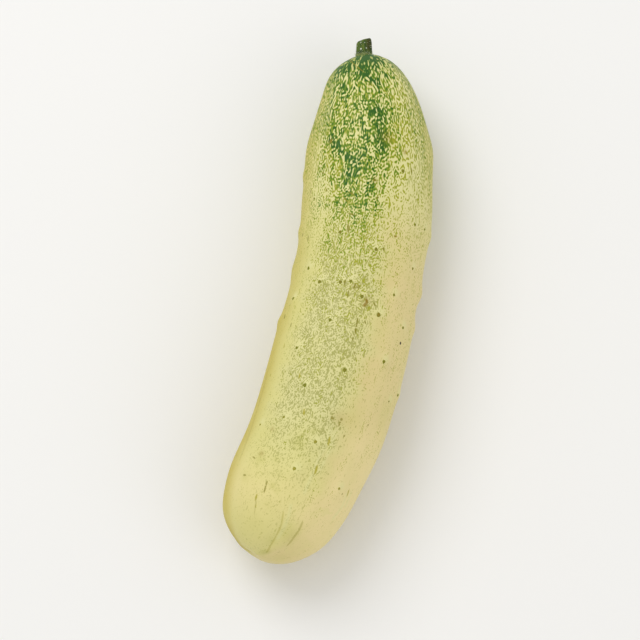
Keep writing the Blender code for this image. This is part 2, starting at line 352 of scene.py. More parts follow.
class CUCUMBER_PG_fruit(bpy.types.PropertyGroup):
    """Sizes of the fruit."""

    radius: length_prop("Radius", "Radius of the body before its swelling", 0.0293)
    wart_height: length_prop("Wart height", "How far a wart stands off the skin", 0.0007)
    wart_spread: length_prop("Wart spread", "How wide a wart's foot is", 0.0034)
    scar_height: length_prop("Scar height", "How far the rim of a spine's scar stands up", 0.00022)
    segments: IntProperty(name="Segments", description="Faces round the fruit", default=288, min=24)
    rings: IntProperty(name="Rings", description="Faces along the fruit", default=340, min=24)


class CUCUMBER_PG_skin(bpy.types.PropertyGroup):
    """Colours of the skin and of the marks on it; some also paint light and shade on it."""

    cream: colour_prop("Cream", "The clean skin on the paler side", 214, 197, 134)
    # Also painted light: it brightens the right of the lower half and the blossom's end.
    lime: colour_prop("Pale lime", "The skin along the middle", 214, 207, 131)
    pale: colour_prop("Pale cream", "The palest skin, towards the blossom's end", 236, 218, 157)
    # Partly the skin's own yellower tone, partly painted shade where the sides curve away towards the
    # edges.
    border: colour_prop("Border", "The yellower skin low on the side", 192, 174, 70)
    # The net's cream also paints the highlight by each scar.
    net_and_highlight: colour_prop("Net", "The cream net between the green patches", 222, 217, 152)
    milk: colour_prop("Milk", "The whiter skin between the fine specks", 216, 211, 152)
    grain: colour_prop("Grain", "The fine specks below the net", 132, 133, 35)
    olive: colour_prop("Olive", "Where the net meets the green", 160, 162, 44)
    leaf: colour_prop("Leaf green", "The light green", 130, 148, 30)
    green: colour_prop("Green", "The green of the patches", 96, 130, 30)
    deep: colour_prop("Deep green", "The deepest green, by the stalk", 46, 92, 22)
    dash: colour_prop("Dash", "The paler marks of the far end", 168, 158, 34)
    scar: colour_prop("Scar", "The spots where spines stood", 130, 124, 22)
    brown: colour_prop("Brown", "Healed scuffs", 142, 116, 30)
    speck: colour_prop("Speck", "One dark speck", 40, 26, 8)


class CUCUMBER_PG_stalk(bpy.types.PropertyGroup):
    """Sizes and colours of the stub of the stalk, also the colours of its painted shade and painted
    glints.
    """

    radius: length_prop("Radius", "Radius of the stub between its flare and its cut", 0.0034)
    flare: length_prop("Flare", "How much wider the stub is at its foot", 0.0004)
    aside: length_prop("Aside", "How far it stands to the left of the fruit's tip", 0.0005)
    length: length_prop("Length", "From the fruit to the middle of the cut", 0.0079)
    ribs: IntProperty(name="Ribs", description="Ribs round the stub", default=5, min=3)
    rib_height: length_prop("Rib height", "How far a rib stands out", 0.00035)
    lean: angle_prop("Lean", "How far it leans sideways", 6)
    cut_up: angle_prop("Cut upwards", "How far the cut faces up", 9)
    cut_left: angle_prop("Cut sideways", "How far the cut faces left", 17)
    hairs: IntProperty(name="Hairs", description="Short bristles on the stub", default=30, min=0)
    collar_hairs: IntProperty(name="Collar hairs", description="Fine hairs round its foot",
                              default=170, min=0)
    skin: colour_prop("Skin", "The stub's dark skin", 76, 98, 24)
    dark: colour_prop("Dark", "The furrows and blotches of its skin", 34, 62, 24)
    light: colour_prop("Light", "The worn tops of its ribs", 104, 118, 36)
    # Painted shade on the stub's right side, turned from the key lamp; the cut's darker rings take this
    # colour too.
    shade_and_dry: colour_prop("Dry", "The browner, drier side", 64, 62, 14)
    cut: colour_prop("Cut", "The dried cut face", 108, 104, 38)
    collar: colour_prop("Collar", "The downy skin round its foot", 124, 136, 76)
    # Also the colour of the stub's pale flecks, partly painted glints.
    hair_and_glint: colour_prop("Hair", "The pale bristles", 240, 242, 226)


class CUCUMBER_PG_stage(bpy.types.PropertyGroup):
    """The camera, the light and the floor."""

    azimuth: angle_prop("Azimuth", "Camera direction round the object", 12.6)
    elevation: angle_prop("Elevation", "Camera height above the horizon", 76.6)
    distance: length_prop("Distance", "From the camera to the fruit", 2.5)
    pixel: length_prop("Pixel", "Width of one pixel at the fruit", 0.00046)
    aim_right: FloatProperty(name="Aim right", description="Pixels from the fruit's middle",
                             default=-22.7)
    aim_up: FloatProperty(name="Aim up", description="Pixels from the fruit's middle", default=-10.15)
    sky: FloatProperty(name="Sky", description="Strength of the even light from all round", default=0.72)
    floor: colour_prop("Floor", "The plain floor", 240, 239, 236)


class Skin:
    """The fruit's surface, read at a place."""

    def __init__(self, settings):
        self.settings = settings
        start = np.array((0, CHORD / 2))
        end = -start
        handles = (start, start + (STEM_BOW, -STEM_REACH), end + (BLOSSOM_BOW, BLOSSOM_REACH), end)
        t = np.linspace(0, 1, SAMPLES)[:, None]
        weights = ((1 - t) ** 3, 3 * t * (1 - t) ** 2, 3 * t ** 2 * (1 - t), t ** 3)
        self.points = sum(weight * handle for weight, handle in zip(weights, handles))
        steps = np.hypot(*np.diff(self.points, axis=0).T)
        self.along = np.concatenate(([0], np.cumsum(steps)))
        self.length = self.along[-1]
        self.warts = (*WARTS, *hidden_places())
        stations = self.length * (1 - np.cos(np.linspace(0, math.pi, SAMPLES))) / 2
        reach = np.hypot(np.diff(stations), np.diff(self.plain_radius(stations)))
        self.stations = stations
        self.meridian = np.concatenate(([0], np.cumsum(reach)))
        drawn = curve(DRAWN_OUT, stations)[1:]
        self.drawn_out = np.concatenate(([0], np.cumsum(reach * drawn)))
        self.shift = np.zeros(2)
        self.shift = self.to_footprint()

    def to_footprint(self):
        """Return the level move that puts the middle of the fruit where the solid's is."""
        shares, turns = np.linspace(0, 1, SURVEY[0]), np.linspace(0, math.tau, SURVEY[1])
        along, turn = np.meshgrid(self.station(shares), turns)
        points = self.point(along.ravel(), turn.ravel())
        middle = (points.min(axis=0) + points.max(axis=0)) / 2
        wanted = (FRUIT_BOX[0] + FRUIT_BOX[1]) / 2
        return np.array((wanted.x - middle[0], wanted.y - middle[1]))

    def middle(self, along):
        """Return the centre line's point at this distance, without its height."""
        x, y = (np.interp(along, self.along, column) for column in self.points.T)
        return np.stack((x, y), axis=-1) + self.shift

    def heading(self, along):
        """Return the level direction of growth there."""
        after = self.middle(np.minimum(along + HEADING_REACH, self.length))
        step = after - self.middle(np.maximum(along - HEADING_REACH, 0))
        return step / np.linalg.norm(step, axis=-1, keepdims=True)

    def body_radius(self, along):
        """Return the radius before the ends close."""
        return self.settings.radius + SWELL_HEIGHT * np.exp(-((along - SWELL_AT) / SWELL_SPREAD) ** 2)

    def plain_radius(self, along):
        """Return the radius of the smooth fruit."""
        stem = closing(along, STEM_TAPER, STEM_BLUNT)
        blossom = closing(self.length - along, BLOSSOM_TAPER, BLOSSOM_BLUNT)
        return self.body_radius(along) * stem * blossom

    def relief(self, along, turn, radius):
        """Return how far the skin stands off the smooth fruit."""
        where = along, turn, radius
        wart = self.settings.wart_height, self.settings.wart_spread / MM
        height = MM * sum(mark(where, *swelling) for swelling in SWELLINGS)
        height += sum(mark(where, *place, *wart) for place in self.warts)
        height += RIB_HEIGHT * np.cos(RIBS * turn) + WRINKLE_HEIGHT * wrinkle_values(where)
        height *= between(UNDERSIDE_PLAIN, UNDERSIDE_PLAIN + UNDERSIDE_BLEND, apart(turn, math.pi))
        drawn_in = 1 - between(0, GROOVE_REACH, self.length - along)
        drawn_in = drawn_in * between(0, self.settings.radius / 3, radius)
        for round_to, depth in GROOVES:
            sideways = apart(turn, math.radians(round_to)) * radius / GROOVE_WIDTH
            height -= depth * MM * drawn_in * np.exp(-sideways * sideways)
        return height * between(0, RELIEF_FROM, radius)

    def point(self, along, turn, lift=0):
        """Return the points of the skin at these places, lifted off it by this much."""
        along, turn = np.broadcast_arrays(np.asarray(along, float), np.asarray(turn, float))
        radius = self.plain_radius(along)
        scar = SCAR_DEPTH * (1 - between(0, SCAR_RADIUS * 2, radius)) * (along > self.length / 2)
        radius = radius + self.relief(along, turn, radius) + lift
        heading = self.heading(along)
        outside = np.stack((-heading[..., 1], heading[..., 0]), axis=-1)
        level = self.middle(along) + outside * (radius * np.sin(turn))[..., None]
        level = level - heading * scar[..., None]
        height = self.body_radius(along) - FLAT_DEPTH + radius * np.cos(turn)
        return np.concatenate((level, np.maximum(height, 0)[..., None]), axis=-1)

    def station(self, share):
        """Turn 0 to 1 into distances along, spaced evenly over the skin."""
        return np.interp(share * self.meridian[-1], self.meridian, self.stations)


class Stub:
    """The stalk's stub, read at a turn from straight up towards the right and a height off the fruit."""

    def __init__(self, settings, skin):
        self.settings = settings
        outwards = -skin.heading(np.zeros(1))[0]
        level = math.atan2(outwards[1], outwards[0]) - settings.lean
        self.axis = np.array((math.cos(level), math.sin(level), 0))
        self.up = np.array((0, 0, 1))
        self.right = np.cross(self.axis, self.up)
        seat = skin.middle(np.zeros(1))[0] + outwards * STUB_GAP
        seat = np.array((*seat, float(skin.body_radius(0)) - FLAT_DEPTH))
        self.seat = seat - self.right * settings.aside

    def radius(self, turn, height):
        """Return how far the stub's side is from its middle."""
        settings = self.settings
        flare = settings.flare * np.exp(-np.maximum(height, 0) / (settings.length * FLARE_REACH))
        ribs = settings.rib_height * np.cos(settings.ribs * turn)
        furrows = FURROW_HEIGHT * np.cos(FURROWS * turn + FURROW_TWIST * height)
        return settings.radius + flare + ribs + furrows

    def point(self, turn, height, share=1.0, lift=0.0):
        """Return the points of the stub at these places."""
        settings = self.settings
        out = self.radius(turn, height) * share + lift
        up, right = out * np.cos(turn), out * np.sin(turn)
        climb = np.clip(height / settings.length, 0, 1) ** 2
        slant = right * math.tan(settings.cut_left) - up * math.tan(settings.cut_up)
        height = height + climb * slant
        across = np.outer(up, self.up) + np.outer(right, self.right)
        return self.seat + np.outer(height, self.axis) + across

    def outwards(self, turn):
        """Return the direction away from the stub's middle."""
        return math.cos(turn) * self.up + math.sin(turn) * self.right


def closing(distance, taper, blunt):
    """Return how far an end has opened, from 0 at its tip to 1."""
    left = np.clip(1 - distance / taper, 0, 1)
    return (1 - left ** blunt[0]) ** (1 / blunt[1])


def between(low, high, value):
    """Return 0 below low and 1 above high, with a smooth rise between."""
    share = np.clip((value - low) / (high - low), 0, 1)
    return share * share * (3 - 2 * share)


def apart(first, second):
    """Return the angle between two directions round the fruit, without a sign."""
    turn = np.abs(first - second) % math.tau
    return np.minimum(turn, math.tau - turn)


def signed_turn(turn):
    """Return an angle between minus and plus half a turn."""
    return (turn + math.pi) % math.tau - math.pi


def mark(where, at, round_to, strength, spread):
    """Return one soft round mark over the skin, given in millimetres and degrees."""
    along, turn, radius = where
    across = (along - at * MM) / (spread * MM)
    sideways = apart(turn, math.radians(round_to)) * radius / (spread * MM)
    return strength * np.exp(-across * across - sideways * sideways)


def strongest(marks, where):
    """Return how strong the strongest of these soft round marks is over the skin."""
    return np.maximum.reduce([mark(where, *each) for each in marks])


def zone(name, along):
    """Return how far into one of the skin's zones each place is, from 0 before it to 1 past it."""
    low, high = ZONES[name]
    return between(low * MM, high * MM, along)


def curve(table, along):
    """Read a short table of values by the distance along, given in metres."""
    at, value = zip(*table)
    return np.interp(along / MM, at, value)


def hidden_places():
    """Return the warts' places on the side turned away, in rows with some scatter."""
    draw = random.Random(SEED)
    places = []
    for row, round_to in enumerate(HIDDEN_ROWS):
        first = HIDDEN_FROM + HIDDEN_STEP * (row % 2) / 2
        for along in np.arange(first, HIDDEN_TO, HIDDEN_STEP):
            slip = draw.uniform(-HIDDEN_SCATTER, HIDDEN_SCATTER)
            turn = draw.uniform(-HIDDEN_SCATTER, HIDDEN_SCATTER)
            places.append((along + slip, round_to + turn))
    return places


def deselect():
    """Leave nothing selected."""
    for item in bpy.context.selected_objects:
        item.select_set(False)


def twin(piece):
    """Return a copy of a piece with its own mesh."""
    made = piece.copy()
    made.data = piece.data.copy()
    bpy.context.scene.collection.objects.link(made)
    return made


def pick_faces(piece, wanted):
    """Leave only the faces that pass selected, in edit mode."""
    bpy.ops.mesh.select_mode(type="FACE")
    bpy.ops.mesh.select_all(action="DESELECT")
    mesh = bmesh.from_edit_mesh(piece.data)
    for face in mesh.faces:
        face.select_set(wanted(face))
    bmesh.update_edit_mesh(piece.data)


def read_points(mesh):
    """Return a mesh's points as rows of x, y and z."""
    flat = np.empty(len(mesh.vertices) * 3, np.float32)
    mesh.vertices.foreach_get("co", flat)
    return flat.reshape(-1, 3).astype(float)


def write_points(mesh, points):
    """Move a mesh's points to these rows."""
    mesh.vertices.foreach_set("co", np.asarray(points, np.float32).ravel())
    mesh.update()


def write_value(mesh, name, values):
    """Store one number for each point of a mesh."""
    made = mesh.attributes.new(name, "FLOAT", "POINT")
    made.data.foreach_set("value", np.broadcast_to(values, len(mesh.vertices)).astype(np.float32))


def write_vector(mesh, name, rows):
    """Store one vector for each point of a mesh."""
    made = mesh.attributes.new(name, "FLOAT_VECTOR", "POINT")
    made.data.foreach_set("vector", np.asarray(rows, np.float32).ravel())


def settle(piece, name, mat):
    """Name a finished piece, give it its material, shade it smooth and set it on its body."""
    piece.name = name
    piece.data.name = name
    piece.data.materials.clear()
    piece.data.materials.append(mat)
    piece.data.shade_smooth()
    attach(piece, "root")


def joined(copies):
    """Join like pieces into one object and return it."""
    deselect()
    for copy in copies:
        copy.select_set(True)
    bpy.context.view_layer.objects.active = copies[0]
    bpy.ops.object.join()
    return bpy.context.object


class Nodes:
    """Writes a material's or a group's nodes."""

    def __init__(self, tree):
        self.tree = tree

    def add(self, kind, inputs=(), **settings):
        """Add a node, set its settings, then feed its inputs with values or sockets."""
        node = self.tree.nodes.new(kind)
        for key, value in settings.items():
            setattr(node, key, value)
        for key, value in dict(inputs).items():
            self.feed(node.inputs[key], value)
        return node

    def feed(self, socket, value):
        """Link a socket to an input, or write a value or a colour into it."""
        if isinstance(value, bpy.types.NodeSocket):
            self.tree.links.new(value, socket)
        elif socket.type == "RGBA":
            socket.default_value = (*value[:3], 1)
        else:
            socket.default_value = value

    def math(self, operation, first, second=0.0):
        """Return the result of a sum on one or two numbers."""
        return self.add("ShaderNodeMath", {0: first, 1: second}, operation=operation).outputs[0]

    def sum(self, operation, first, second):
        """Return the result of a sum on two vectors."""
        return self.add("ShaderNodeVectorMath", {0: first, 1: second}, operation=operation).outputs[0]

    def ramp(self, value, low, high, to_low=0.0, to_high=1.0, kind="SMOOTHSTEP"):
        """Return a value carried from one range to another."""
        inputs = {"Value": value, "From Min": low, "From Max": high, "To Min": to_low, "To Max": to_high}
        node = self.add("ShaderNodeMapRange", inputs, interpolation_type=kind, clamp=True)
        return node.outputs["Result"]

    def mix(self, share, first, second):
        """Return a colour between two others."""
        inputs = {0: share, 6: first, 7: second}
        return self.add("ShaderNodeMix", inputs, data_type="RGBA", clamp_factor=True).outputs[2]

    def tones(self, value, stops):
        """Return a colour read from a row of stops."""
        node = self.add("ShaderNodeValToRGB", {"Fac": value})
        elements = node.color_ramp.elements
        while len(elements) < len(stops):
            elements.new(1)
        for element, (position, colour) in zip(elements, stops):
            element.position = position
            element.color = (*colour[:3], 1)
        return node.outputs["Color"]

    def value(self, name):
        """Return one of the mesh's own numbers."""
        return self.add("ShaderNodeAttribute", attribute_name=name).outputs["Fac"]

    def vector(self, name):
        """Return one of the mesh's own vectors."""
        return self.add("ShaderNodeAttribute", attribute_name=name).outputs["Vector"]

    def noise(self, place, scale, detail=2.0, rough=0.5, distortion=0.0):
        """Return a noise read at a place."""
        inputs = {"Vector": place, "Scale": scale, "Detail": detail, "Roughness": rough,
                  "Distortion": distortion}
        return self.add("ShaderNodeTexNoise", inputs).outputs["Fac"]

    def stray(self, place, kind, detail, reach):
        """Return a noise that goes to either side of nothing, by this much from end to end."""
        noise = self.math("SUBTRACT", self.noise(place, SCALES[kind], detail), 0.5)
        return self.math("MULTIPLY", noise, reach)

    def coats(self, ground, layers):
        """Lay colours over another, each as thick as one of the mesh's own numbers says."""
        for name, colour in layers:
            ground = self.mix(self.value(name), ground, colour)
        return ground

    def finish(self, shader, colour, place, pores):
        """Feed a shader its colour and the fine grain of a plant's skin."""
        size, depth, strength = pores
        self.tree.links.new(colour, shader.inputs["Base Color"])
        group = self.tree.nodes.new("ShaderNodeGroup")
        group.node_tree = pores_group()
        self.feed(group.inputs["Place"], place)
        self.feed(group.inputs["Size"], size)
        inputs = {"Height": group.outputs["Height"], "Distance": depth, "Strength": strength}
        normal = self.add("ShaderNodeBump", inputs).outputs["Normal"]
        self.tree.links.new(normal, shader.inputs["Normal"])


def new_material(name, **constants):
    """Return a material, its writer and its shader, with the shader's own values set."""
    made = bpy.data.materials.new(name)
    made.use_nodes = True
    shader = made.node_tree.nodes["Principled BSDF"]
    for key, value in constants.items():
        shader.inputs[key.replace("_", " ")].default_value = value
    return made, Nodes(made.node_tree), shader


def pores_group():
    """Return the group that gives the fine grain of a plant's skin, as a height."""
    known = bpy.data.node_groups.get("cucumber_pores")
    if known:
        return known
    tree = bpy.data.node_groups.new("cucumber_pores", "ShaderNodeTree")
    tree.interface.new_socket("Place", in_out="INPUT", socket_type="NodeSocketVector")
    size = tree.interface.new_socket("Size", in_out="INPUT", socket_type="NodeSocketFloat")
    size.default_value = PORES["skin"][0]
    tree.interface.new_socket("Height", in_out="OUTPUT", socket_type="NodeSocketFloat")
    nodes = Nodes(tree)
    start, end = nodes.add("NodeGroupInput").outputs, nodes.add("NodeGroupOutput").inputs
    scale = nodes.math("DIVIDE", 1.0, start["Size"])
    grain = nodes.noise(start["Place"], scale, 2.5, 0.55)
    broad = nodes.noise(start["Place"], nodes.math("MULTIPLY", scale, 0.22), 1.0)
    tree.links.new(nodes.math("ADD", grain, nodes.math("MULTIPLY", broad, 0.8)), end["Height"])
    return tree


def worm_level(nodes, place):
    """Return a field of winding, evenly spaced ridges: low along the green, high along the cream."""
    inputs = {"Vector": place, "Scale": SCALES["bends"], "Detail": 0.0}
    bends = nodes.add("ShaderNodeTexNoise", inputs).outputs["Color"]
    bends = nodes.sum("SUBTRACT", bends, (0.5, 0.5, 0.5))
    place = nodes.sum("ADD", place, nodes.sum("MULTIPLY", bends, (BEND, BEND, BEND)))
    inputs = {"Vector": place, "Scale": SCALES["worms"], "Frequency": 2.0, "Anisotropy": 0.0}
    worms = nodes.add("ShaderNodeTexGabor", inputs, gabor_type="3D").outputs["Value"]
    return nodes.ramp(worms, 0.36, 0.64, kind="LINEAR")


def mottle(nodes, place, worms, ground, colours):
    """Return the colour of the green mottle over the ground."""
    drawn = nodes.add("ShaderNodeMapping", {"Vector": place, "Scale": (1, 0.2, 1)}).outputs["Vector"]
    drift = nodes.stray(place, "patches", 1, 0.25)
    drift = nodes.math("ADD", drift, nodes.stray(drawn, "columns", 0, 0.5))
    margin = nodes.math("SUBTRACT", nodes.math("ADD", nodes.value("cover"), drift), worms)
    tone = nodes.math("ADD", nodes.math("MULTIPLY", margin, 1.2), nodes.value("rich"))
    tone = nodes.math("ADD", tone, nodes.math("MULTIPLY", drift, 1.1))
    stops = ((0, colours.olive), (0.25, colours.leaf), (0.55, colours.green), (0.95, colours.deep))
    return nodes.mix(nodes.ramp(margin, -0.3, 0.05), ground, nodes.tones(tone, stops))


def specks(nodes, place, worms):
    """Return where the fine specks below the net lie."""
    drift = nodes.stray(place, "thickness", 1, 0.4)
    speck = nodes.math("ADD", drift, nodes.stray(place, "grain", 0, 1.3))
    speck = nodes.math("SUBTRACT", nodes.math("ADD", nodes.value("speck"), speck), worms)
    return nodes.math("MULTIPLY", nodes.ramp(speck, -0.35, 0.35), nodes.value("speck_depth"))


def spots(nodes, place, colour, colours):
    """Return the skin's colour with its dashes, scuffs and lines on it."""
    spot = nodes.add("ShaderNodeVectorMath", {0: nodes.vector("spot")}, operation="LENGTH")
    spot = nodes.math("ADD", spot.outputs["Value"], nodes.stray(place, "ragged", 2, 0.9))
    share = nodes.math("MULTIPLY", nodes.ramp(spot, 1.25, 0.7), nodes.value("spot_strength"))
    stops = ((0, colours.dash), (SCAR_STOP, colours.scar), (0.76, colours.brown), (1, colours.speck))
    return nodes.mix(share, colour, nodes.tones(nodes.value("spot_brown"), stops))


def pattern_place(nodes):
    """Return where the pattern is read: round a cylinder as wide as the fruit, widened in steps."""
    place = nodes.add("ShaderNodeTexCoord").outputs["Object"]
    level = nodes.math("ADD", nodes.value("level"), nodes.stray(place, "levels", 1, 1.6))
    wide = nodes.math("POWER", PATTERN_STEP, nodes.math("ROUND", level))
    wide = nodes.math("MULTIPLY", wide, PATTERN_RADIUS)
    scale = nodes.add("ShaderNodeCombineXYZ", {"X": wide, "Y": 1.0, "Z": wide}).outputs["Vector"]
    return nodes.sum("MULTIPLY", nodes.vector("ring"), scale)


def skin_material(colours):
    """Write the fruit's skin: cream and lime under a green mottle that thins away from the stalk."""
    mat, nodes, shader = new_material("cucumber_skin", Roughness=0.48, IOR=1.4, Specular_IOR_Level=0.3)
    place = pattern_place(nodes)
    worms = worm_level(nodes, place)
    ground = nodes.coats(colours.lime, (
        ("blush", colours.cream), ("pale", colours.pale), ("netted", colours.net_and_highlight),
        ("milky", colours.milk), ("border", colours.border),
    ))
    clouds = nodes.ramp(nodes.noise(place, SCALES["clouds"], 3, 0.6), 0.35, 0.75, 0.0, 0.35)
    ground = nodes.mix(clouds, ground, colours.lime)
    # Painted highlights above and right of the scars, and the paler wrinkles, in the net's cream.
    ground = nodes.coats(ground, (("scar_highlight_and_wrinkles", colours.net_and_highlight), ("smudge", colours.olive)))
    ground = nodes.mix(specks(nodes, place, worms), ground, colours.grain)
    colour = mottle(nodes, place, worms, ground, colours)
    colour = nodes.coats(colour, (("tinge", colours.brown),))
    nodes.finish(shader, spots(nodes, place, colour, colours), place, PORES["skin"])
    return mat


def paint_skin(mesh, skin, along, turn):
    """Store on the fruit's points what its material reads."""
    radius = skin.plain_radius(along)
    where = along, turn, radius
    down = np.interp(along, skin.stations, skin.drawn_out)
    write_vector(mesh, "ring", np.stack((np.sin(turn), down, np.cos(turn)), axis=-1))
    fine = np.maximum(radius, MM) * curve(FINENESS, along) / PATTERN_RADIUS
    left, right = past_border(where)
    shown = (1 - left) * (1 - right)
    # A painted highlight above and right of each scar; it also clears the specks and thins the green.
    scar_highlight_and_wrinkles = strongest([(at - SCAR_HIGHLIGHT_UP, round_to + SCAR_HIGHLIGHT_RIGHT, SCAR_HIGHLIGHT_STRENGTH, SCAR_HIGHLIGHT_WIDER + half)
                      for at, round_to, half, _ in SPINE_SCARS], where)
    smudge = strongest(SMUDGES, where)
    speck = curve(SPECK_TOP, along) * shown - 0.26 * (1 - shown) - 0.5 * scar_highlight_and_wrinkles
    values = {
        "level": np.log(fine) / math.log(PATTERN_STEP),
        "speck": speck + 0.4 * smudge * (1 - zone("blossom", along)),
        "speck_depth": 0.6 - 0.3 * zone("faint", along),
        "scar_highlight_and_wrinkles": np.maximum(scar_highlight_and_wrinkles, 0.6 * wrinkle_values(where)),
        "smudge": 0.4 * np.maximum(smudge, 1 - zone("olive", along)),
        "tinge": strongest(TINGES, where),
        **green_values(where, shown, right, scar_highlight_and_wrinkles),
        **ground_values(where, shown, right),
    }
    for name, value in values.items():
        write_value(mesh, name, value)
    write_spots(mesh, skin, where)


def past_border(where):
    """Return how far each place is past the green's border, on the left and on the right."""
    along, turn, _ = where
    degrees = np.degrees(signed_turn(turn))
    sway = sum(reach * np.sin(along / WAVE * often + start) for reach, often, start in SWAYS)
    left = between(-FADE_HALF, FADE_HALF, -degrees - curve(FADE_LEFT, along) + sway)
    return left, between(-FADE_HALF, FADE_HALF, degrees - curve(FADE_RIGHT, along) + sway)


def green_values(where, shown, right, scar_highlight_and_wrinkles):
    """Return how thick and how rich the green mottle is."""
    along = where[0]
    cover = curve(COVER_SIDE, along) * (1 - shown) + curve(COVER_TOP, along) * shown
    cover = cover + mark(where, *FRINGE) * zone("fringe", along) * right
    patch = sum(mark(where, *each) for each in PATCHES)
    rich = 0.2 * shown + 0.42 * (cover - 0.5) + 0.8 * patch + 0.3 * (1 - zone("deep", along))
    light = 0.04 + 0.07 * zone("light", along) + 0.1 * zone("lighter", along)
    # The green thins under the painted highlight by each scar.
    return {"cover": cover + 0.3 * patch - 0.15 * scar_highlight_and_wrinkles, "rich": rich - light}


def ground_values(where, shown, right):
    """Return how thick each of the ground's colours lies."""
    along, turn, _ = where
    degrees = np.degrees(signed_turn(turn))
    below = zone("blush", along)
    under = between(*UNDER, np.abs(degrees))
    warm = right * (1 - 0.5 * under) + 0.5 * under * (degrees < 0)
    # Paler on the right, most in the lower half, and over the blossom's end: partly the skin's own paler
    # tone, partly painted light on the lower right and on the end, which turns away from the key lamp.
    pale = between(*PALE_SIDE, degrees) * (1 - under)
    pale = pale * np.maximum(0.5 * below, 0.9 * zone("clean", along))
    pale = np.maximum(pale, zone("blossom", along) * (0.5 + 0.3 * warm))
    # Yellower and darker towards the edges, on the left and near the stalk on the right: partly the
    # skin's tone, partly painted shade of the sides curving away.
    border = between(*LEFT_SIDE, -degrees) * (0.7 + 0.3 * zone("border", along))
    border += 0.4 * between(*RIGHT_SIDE, degrees) * (1 - zone("right_border", along))
    return {
        "blush": warm * below,
        "pale": pale * (1 - 0.6 * zone("tip", along)),
        "netted": 1 - zone("netted", along),
        "milky": 0.8 * shown * zone("milky", along) * (1 - zone("milk_ends", along)),
        "border": border * (1 - under) + 0.3 * under,
    }


def wrinkle_values(where):
    """Return how high the wrinkles stand over the whole skin, from 0 to 1."""
    along, turn, radius = where
    value = np.zeros_like(along)
    for points in WRINKLES:
        for (at, round_to), (end, turned) in zip(points, points[1:]):
            down, side = along / MM - at, signed_turn(turn - math.radians(round_to)) * radius / MM
            step = end - at, math.radians(turned - round_to) * radius / MM
            share = np.clip((down * step[0] + side * step[1]) / (step[0] ** 2 + step[1] ** 2), 0, 1)
            away = np.hypot(down - share * step[0], side - share * step[1]) * MM / WRINKLE_SPREAD
            value = np.maximum(value, np.exp(-away * away))
    return value


def spot_list(skin):
    """Return every spot: along, round, half length, half width, slant, brown and strength."""
    made = [(*dash, *DASH_TONES[dash[0] >= PALER_FROM]) for dash in DASHES]
    made += [(*scuff, *SCUFF_TONES[scuff[0] >= PALER_FROM]) for scuff in SCUFFS]
    made.append((*SPECK, 1.0, 1.0))
    for points, half, brown, strength in LINES:
        for (at, round_to), (end, turned) in zip(points, points[1:]):
            middle = (at + end) / 2
            radius = float(skin.plain_radius(np.array((middle * MM,)))[0]) / MM
            side = math.radians(turned - round_to) * radius
            reach = math.hypot(side, end - at) / 2 + half
            slant = math.degrees(math.atan2(side, end - at))
            made.append((middle, (round_to + turned) / 2, reach, half, slant, brown, strength))
    return made


def write_spots(mesh, skin, where):
    """Store how far each point is from its nearest spot, in shares of that spot's half size."""
    best = np.full(where[0].shape, 9.0)
    spot = np.full((len(best), 3), 9.0)
    brown = np.zeros_like(best)
    strength = np.zeros_like(best)
    for *place, tone, depth in spot_list(skin):
        across, down = spot_place(where, *place)
        away = np.hypot(across, down)
        near = away < best
        best[near] = away[near]
        spot[near, 0] = across[near]
        spot[near, 1] = down[near]
        brown[near] = tone
        strength[near] = depth
    spot[:, 2] = np.maximum(best - 2.0, 0)
    write_vector(mesh, "spot", spot)
    write_value(mesh, "spot_brown", SCAR_STOP + (1 - SCAR_STOP) * brown)
    write_value(mesh, "spot_strength", strength)


def spot_place(where, at, round_to, half_length, half_width, slant):
    """Return how far points are from a spot's middle, across and along, in its half sizes."""
    along, turn, radius = where
    down = along / MM - at
    side = signed_turn(turn - math.radians(round_to)) * radius / MM
    lean = math.radians(slant)
    length = down * math.cos(lean) + side * math.sin(lean)
    width = side * math.cos(lean) - down * math.sin(lean)
    return width / half_width, length / half_length


class CUCUMBER_OT_fruit(bpy.types.Operator):
    """Model the fruit as a sphere drawn out along its centre line, with its relief and its skin"""

    bl_idname = "cucumber.fruit"
    bl_label = "Fruit"

    def execute(self, context):
        settings = context.scene.cucumber_fruit
        skin = Skin(settings)
        deselect()
        bpy.ops.mesh.primitive_uv_sphere_add(segments=settings.segments, ring_count=settings.rings,
                                             radius=1)
        fruit = context.object
        x, y, z = read_points(fruit.data).T
        along = skin.station(np.arccos(np.clip(z, -1, 1)) / math.pi)
        turn = np.arctan2(y, x)
        turn = turn - CROWDED * np.sin(turn)
        write_points(fruit.data, skin.point(along, turn))
        paint_skin(fruit.data, skin, along, turn)
        settle(fruit, "cucumber_fruit", skin_material(context.scene.cucumber_skin))
        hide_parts("fruit")
        return {"FINISHED"}


